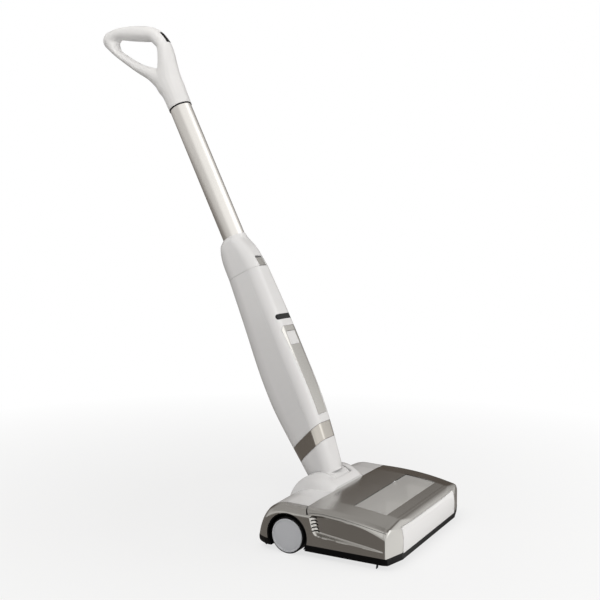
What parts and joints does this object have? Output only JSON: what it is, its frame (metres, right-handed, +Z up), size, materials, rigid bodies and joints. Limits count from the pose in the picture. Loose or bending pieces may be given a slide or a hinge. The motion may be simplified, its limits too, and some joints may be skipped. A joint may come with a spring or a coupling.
{
  "type": "carpet sweeper",
  "caption": "Upright cordless carpet sweeper: loop handle, steel pole, battery body, tilting neck and wheeled brush head with a front dust drawer",
  "frame": {"origin": "on the floor, under the middle of the whole sweeper as it stands at rest", "axes": "+X towards the drive-belt side, -Y towards the front of the floor head, +Z up"},
  "size_m": [0.33, 0.6938, 0.9221],
  "materials": {
    "white_plastic": "glossy moulded white",
    "white_handle": "fine satin white",
    "silver_paint": "warm silver paint on plastic, satin",
    "dark_silver": "darker silver paint, satin",
    "black_plastic": "fine matt black",
    "gloss_black": "polished black",
    "brushed_tube": "drawn tube with lengthwise grain",
    "clear_window": "smoky clear plastic",
    "tyre_rubber": "matt rubber",
    "cap_grey": "light grey satin cap",
    "bristle": "nylon bristle",
    "inner_grey": "plain grey inner plastic",
    "tray_white": "plain pale plastic",
    "steel": "ground steel",
    "brass": "machined brass",
    "battery_wrap": "shrink wrap",
    "board_green": "circuit board"
  },
  "bodies": {
    "head": {"base_plate": "black_plastic", "front_glides": "black_plastic", "edge_bristles": "bristle", "ballast_plate": "steel", "base_screws": "steel", "wheel_well_left": "black_plastic", "wheel_well_right": "black_plastic", "axle_pins": "steel", "top_cover": "silver_paint", "window": "clear_window", "side_cover_left": "silver_paint", "side_cover_right": "silver_paint", "pivot_housing": "white_plastic", "pivot_cradle": "inner_grey", "brush_shroud": "black_plastic", "brush_bearings": "inner_grey", "motor": "steel", "motor_bracket": "steel", "drive_belt": "tyre_rubber"},
    "wheel_left": {"tyre_left": "tyre_rubber", "wheel_hub_left": "inner_grey", "wheel_cap_left": "cap_grey"},
    "wheel_right": {"tyre_right": "tyre_rubber", "wheel_hub_right": "inner_grey", "wheel_cap_right": "cap_grey"},
    "brush_roll": {"brush_core": "inner_grey", "brush_axle": "steel", "bristles": "bristle", "brush_pulley": "inner_grey"},
    "motor_rotor": {"motor_pulley": "brass"},
    "drawer": {"dust_drawer": "tray_white", "drawer_face": "white_plastic", "dust_lip": "tyre_rubber"},
    "stick": {"neck": "white_plastic", "pivot_tube": "steel", "band": "dark_silver", "body_rear": "white_plastic", "body_front": "white_plastic", "inlay": "silver_paint", "display": "gloss_black", "battery_cells": "battery_wrap", "battery_case": "black_plastic", "control_board": "board_green", "charge_socket": "black_plastic", "body_screws": "steel", "collar": "white_plastic", "pole": "brushed_tube", "pole_plug": "black_plastic", "ring": "gloss_black", "handle_spigot": "black_plastic", "handle_left": "white_handle", "handle_right": "white_handle", "handle_screws": "steel"},
    "power_button_body": {"power_button": "white_plastic"},
    "latch_body": {"latch": "silver_paint"},
    "switch_body": {"handle_switch": "gloss_black"}
  },
  "joints": [
    {"name": "recline", "type": "hinge", "parent": "head", "child": "stick", "pos_m": [0, -0.15848, 0.073], "axis": [1, 0, 0], "range_deg": [-55, 23]},
    {"name": "left_wheel_spin", "type": "hinge", "parent": "head", "child": "wheel_left", "pos_m": [0, -0.16248, 0.03], "axis": [1, 0, 0], "continuous": true},
    {"name": "right_wheel_spin", "type": "hinge", "parent": "head", "child": "wheel_right", "pos_m": [0, -0.16248, 0.03], "axis": [1, 0, 0], "continuous": true},
    {"name": "brush_spin", "type": "hinge", "parent": "head", "child": "brush_roll", "pos_m": [0, -0.22848, 0.025], "axis": [1, 0, 0], "continuous": true},
    {"name": "motor_spin", "type": "hinge", "parent": "head", "child": "motor_rotor", "pos_m": [0, -0.15848, 0.048], "axis": [1, 0, 0], "continuous": true},
    {"name": "dust_drawer_slide", "type": "slide", "parent": "head", "child": "drawer", "axis": [0, -1, 0], "range_m": [0, 0.09]},
    {"name": "power_button_press", "type": "slide", "parent": "stick", "child": "power_button_body", "axis": [0, 0.8988, -0.4384], "range_m": [0, 0.0015], "stiffness_N_per_m": 600, "springref_m": -0.0005},
    {"name": "latch_press", "type": "slide", "parent": "stick", "child": "latch_body", "axis": [0, 0.8988, -0.4384], "range_m": [0, 0.002], "stiffness_N_per_m": 900, "springref_m": -0.0005},
    {"name": "handle_switch_press", "type": "slide", "parent": "stick", "child": "switch_body", "axis": [0, 0.7193, -0.6947], "range_m": [0, 0.002], "stiffness_N_per_m": 500, "springref_m": -0.0005}
  ],
  "couplings": [
    {"joint": "motor_spin", "follows": "brush_spin", "ratio": 2}
  ]
}
